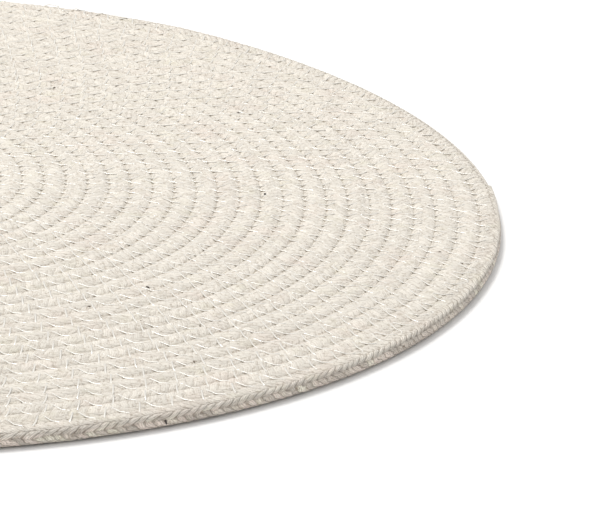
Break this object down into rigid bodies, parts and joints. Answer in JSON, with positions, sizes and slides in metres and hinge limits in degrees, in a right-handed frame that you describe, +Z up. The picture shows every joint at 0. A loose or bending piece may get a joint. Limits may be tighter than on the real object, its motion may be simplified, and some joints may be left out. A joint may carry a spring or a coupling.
{
  "type": "round coiled cord placemat",
  "caption": "Flat round placemat: a thick braided cotton cord wound in a flat spiral, each turn sewn to the last with a zigzag stitch.",
  "frame": {"origin": "centre of the bounding box at the table: on the flat underside, in the middle of the mat", "axes": "+Z up through the thickness, away from the table; +X and +Y lie in the mat, with the cord's outer end about 70 degrees anticlockwise from +X seen from above"},
  "size_m": [0.3804, 0.3774, 0.004],
  "materials": {
    "cotton_cord": "matt natural cotton, braided, with small seed flecks",
    "sewing_thread": "fine off-white sewing thread with a slight sheen"
  },
  "bodies": {
    "root": {"coiled_cord_mat": "cotton_cord"}
  },
  "joints": []
}
